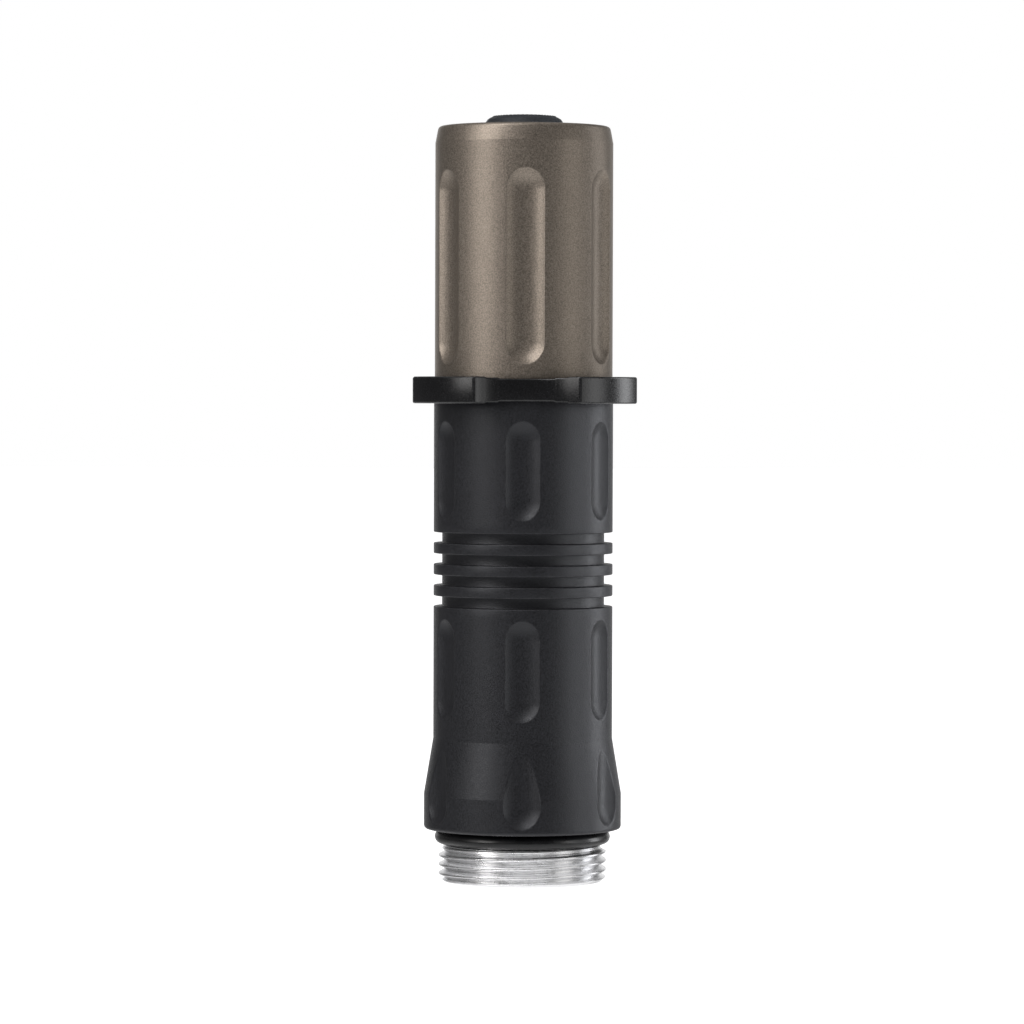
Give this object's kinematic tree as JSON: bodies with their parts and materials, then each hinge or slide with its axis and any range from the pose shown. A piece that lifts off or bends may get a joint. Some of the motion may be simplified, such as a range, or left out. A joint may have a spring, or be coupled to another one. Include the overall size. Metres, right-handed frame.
{
  "type": "tactical flashlight",
  "caption": "Fluted aluminium flashlight body with an anti-roll ring, a screw-on click tailcap and a cell inside, standing on its bare head thread.",
  "frame": {"origin": "centre of the head thread's end face, on the light's axis, where the light stands", "axes": "+Z along the light's axis towards the tail button; +X and -Y are two equal directions between the ring's lobes"},
  "size_m": [0.0314, 0.0314, 0.1085],
  "materials": {
    "black_anodised": "bead-blasted black anodising",
    "tan_anodised": "bead-blasted tan anodising",
    "bare_aluminium": "bright turned thread",
    "rubber": "matt black rubber",
    "black_plastic": "moulded",
    "natural_plastic": "moulded",
    "spring_steel": "drawn wire",
    "gold_contact": "plated",
    "circuit_board": "glass laminate with solder mask",
    "cell_steel": "nickel-plated steel",
    "electrode_foil": "wound foil",
    "cell_plastic": "moulded",
    "cell_film": "shrink film"
  },
  "bodies": {
    "tube": {"battery_tube": "black_anodised", "head_oring": "rubber", "tail_oring": "rubber"},
    "grip_ring": {"anti_roll_ring": "black_anodised"},
    "tailcap": {"tailcap_shell": "tan_anodised", "switch_boot": "rubber", "boot_washer": "black_plastic", "switch_cover": "black_plastic", "switch_base": "black_plastic", "switch_terminal_a": "gold_contact", "switch_terminal_b": "gold_contact", "switch_board": "circuit_board", "tail_spring": "spring_steel", "retaining_ring": "bare_aluminium"},
    "button": {"switch_plunger": "natural_plastic", "plunger_spring": "spring_steel"},
    "rotor": {"switch_rotor": "natural_plastic", "contact_bridge": "gold_contact"},
    "battery": {"cell_can": "cell_steel", "electrode_roll": "electrode_foil", "cell_insulator": "cell_plastic", "cell_gasket": "cell_plastic", "cell_positive_cap": "cell_steel", "cell_wrap": "cell_film"}
  },
  "joints": [
    {"name": "tailcap_turn", "type": "hinge", "parent": "tube", "child": "grip_ring", "pos_m": [0, 0, 0.0696], "axis": [0, 0, 1], "range_deg": [0, 1800.05]},
    {"name": "tailcap_travel", "type": "slide", "parent": "grip_ring", "child": "tailcap", "axis": [0, 0, 1], "range_m": [0, 0.00635]},
    {"name": "button_press", "type": "slide", "parent": "tailcap", "child": "button", "axis": [0, 0, -1], "range_m": [0, 0.002], "stiffness_N_per_m": 1500, "springref_m": -0.001, "deforming": ["switch_boot", "plunger_spring"]},
    {"name": "rotor_turn", "type": "hinge", "parent": "button", "child": "rotor", "pos_m": [0, 0, 0.092], "axis": [0, 0, 1], "range_deg": [0, 45]},
    {"name": "battery_slide", "type": "slide", "parent": "tube", "child": "battery", "axis": [0, 0, -1], "range_m": [0, 0.075]}
  ],
  "couplings": [
    {"joint": "tailcap_turn", "follows": "tailcap_travel", "rad_per_m": 4947.4},
    {"joint": "rotor_turn", "follows": "button_press", "rad_per_m": 392.7}
  ]
}
